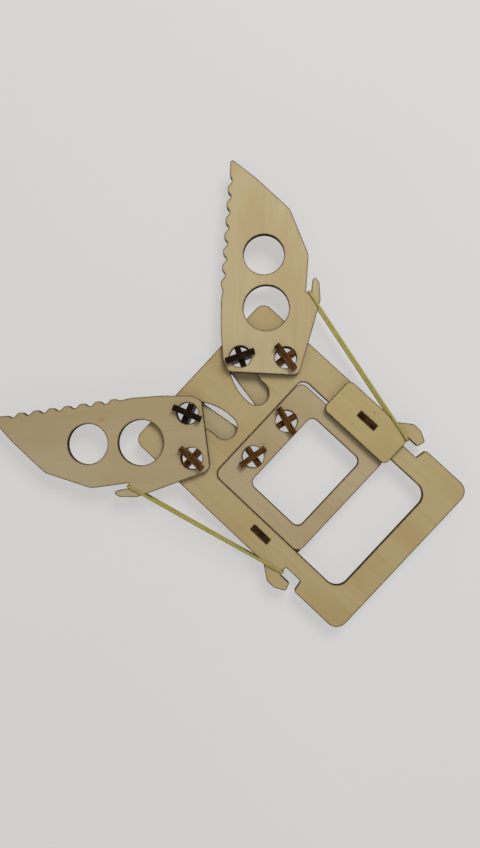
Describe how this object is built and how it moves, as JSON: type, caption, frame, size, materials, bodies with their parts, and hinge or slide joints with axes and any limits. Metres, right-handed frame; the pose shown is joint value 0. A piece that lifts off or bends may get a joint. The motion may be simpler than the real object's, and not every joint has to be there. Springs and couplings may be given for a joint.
{
  "type": "hand gripper linkage",
  "caption": "Laser-cut plywood hand gripper: a slider pulled in a handle frame closes two toothed jaws through links, and rubber bands open them",
  "frame": {"origin": "middle of the whole gripper's footprint, on the plane of the lowest pin heads, jaws open", "axes": "+Y from the handle towards the jaws, +X towards the right jaw, +Z out of the front face"},
  "size_m": [0.1784, 0.1956, 0.0154],
  "materials": {
    "birch_plywood": "bare birch plywood, satin, with dark laser-burnt edges",
    "burnt_pin_wood": "laser-burnt plywood edge, matt",
    "key_wood": "laser-burnt plywood end grain, matt",
    "rubber": "natural rubber band, slightly translucent, satin"
  },
  "bodies": {
    "frame": {"frame_plate": "birch_plywood", "guide_front_right": "birch_plywood", "guide_back_right": "birch_plywood", "guide_back_left": "birch_plywood", "guide_key_right": "key_wood", "guide_key_left": "key_wood", "pivot_pin_right_front": "burnt_pin_wood", "pivot_pin_right_back": "burnt_pin_wood", "pivot_pin_left_front": "burnt_pin_wood", "pivot_pin_left_back": "burnt_pin_wood"},
    "slider": {"slider_plate": "birch_plywood", "slider_pin_right_front": "burnt_pin_wood", "slider_pin_right_back": "burnt_pin_wood", "slider_pin_left_front": "burnt_pin_wood", "slider_pin_left_back": "burnt_pin_wood"},
    "jaw_right": {"jaw_right": "birch_plywood", "crank_pin_right_front": "burnt_pin_wood", "crank_pin_right_back": "burnt_pin_wood"},
    "jaw_left": {"jaw_left": "birch_plywood", "crank_pin_left_front": "burnt_pin_wood", "crank_pin_left_back": "burnt_pin_wood"},
    "link_right": {"link_right": "birch_plywood"},
    "link_left": {"link_left": "birch_plywood"},
    "band_right": {"rubber_band_right": "rubber"},
    "band_right_end": {"rubber_band_right_loop": "rubber"},
    "band_left": {"rubber_band_left": "rubber"},
    "band_left_end": {"rubber_band_left_loop": "rubber"}
  },
  "joints": [
    {"name": "slider_pull", "type": "slide", "parent": "frame", "child": "slider", "axis": [0, -1, 0], "range_m": [0, 0.01755], "stiffness_N_per_m": 60, "springref_m": -0.01},
    {"name": "jaw_right_pivot", "type": "hinge", "parent": "frame", "child": "jaw_right", "pos_m": [0.03375, 0.01129, 0.0077], "axis": [0, 0, 1], "range_deg": [0, 49.82]},
    {"name": "link_right_pivot", "type": "hinge", "parent": "slider", "child": "link_right", "pos_m": [0.01135, -0.01011, 0.0046], "axis": [0, 0, 1], "range_deg": [0, 11.11]},
    {"name": "band_right_swing", "type": "hinge", "parent": "frame", "child": "band_right", "pos_m": [0.0442, -0.05886, 0.0077], "axis": [0, 0, 1], "range_deg": [0, 14.51], "deforming": ["rubber_band_right"]},
    {"name": "band_right_stretch", "type": "slide", "parent": "band_right", "child": "band_right_end", "axis": [0.2434, 0.9699, 0], "range_m": [0, 0.01656], "deforming": ["rubber_band_right_loop"]},
    {"name": "jaw_left_pivot", "type": "hinge", "parent": "frame", "child": "jaw_left", "pos_m": [-0.03375, 0.01129, 0.0077], "axis": [0, 0, 1], "range_deg": [-49.82, 0]},
    {"name": "link_left_pivot", "type": "hinge", "parent": "slider", "child": "link_left", "pos_m": [-0.01275, -0.01011, 0.0046], "axis": [0, 0, 1], "range_deg": [-11.11, 0]},
    {"name": "band_left_swing", "type": "hinge", "parent": "frame", "child": "band_left", "pos_m": [-0.0442, -0.05886, 0.0077], "axis": [0, 0, 1], "range_deg": [-14.51, 0], "deforming": ["rubber_band_left"]},
    {"name": "band_left_stretch", "type": "slide", "parent": "band_left", "child": "band_left_end", "axis": [-0.2434, 0.9699, 0], "range_m": [0, 0.01656], "deforming": ["rubber_band_left_loop"]}
  ],
  "couplings": [
    {"joint": "jaw_right_pivot", "follows": "slider_pull", "rad_per_m": 49.526},
    {"joint": "link_right_pivot", "follows": "slider_pull", "rad_per_m": 11.039},
    {"joint": "band_right_swing", "follows": "slider_pull", "rad_per_m": 14.419},
    {"joint": "band_right_stretch", "follows": "slider_pull", "ratio": 0.94296},
    {"joint": "jaw_left_pivot", "follows": "slider_pull", "rad_per_m": -49.526},
    {"joint": "link_left_pivot", "follows": "slider_pull", "rad_per_m": -11.039},
    {"joint": "band_left_swing", "follows": "slider_pull", "rad_per_m": -14.419},
    {"joint": "band_left_stretch", "follows": "slider_pull", "ratio": 0.94296}
  ]
}
